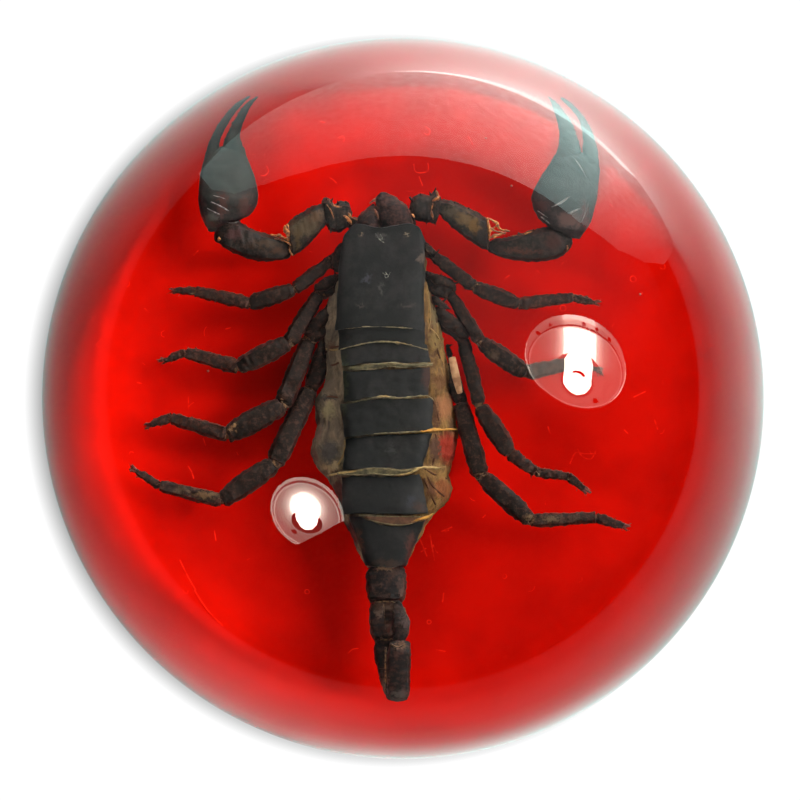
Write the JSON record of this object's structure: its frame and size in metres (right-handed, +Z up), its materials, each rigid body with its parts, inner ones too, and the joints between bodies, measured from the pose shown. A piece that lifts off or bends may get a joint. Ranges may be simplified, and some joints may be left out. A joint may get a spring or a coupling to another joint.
{
  "type": "scorpion in resin dome",
  "caption": "Clear half-ball resin paperweight on an opaque red layer, with a dried black scorpion cast inside, pincers raised and tail folded.",
  "frame": {"origin": "centre of the flat underside, on the surface that it stands on", "axes": "+Z up through the top of the dome, +Y the way the scorpion's head points, +X its right-hand side seen from above"},
  "size_m": [0.089, 0.089, 0.0392],
  "materials": {
    "red_resin": "opaque pigmented cast resin, glossy",
    "clear_resin": "clear cast polyester resin, polished",
    "scorpion_shell": "dry black shell, satin"
  },
  "bodies": {
    "root": {"red_base": "red_resin", "clear_resin_lower": "clear_resin", "clear_resin_upper": "clear_resin", "scorpion": "scorpion_shell"}
  },
  "joints": []
}
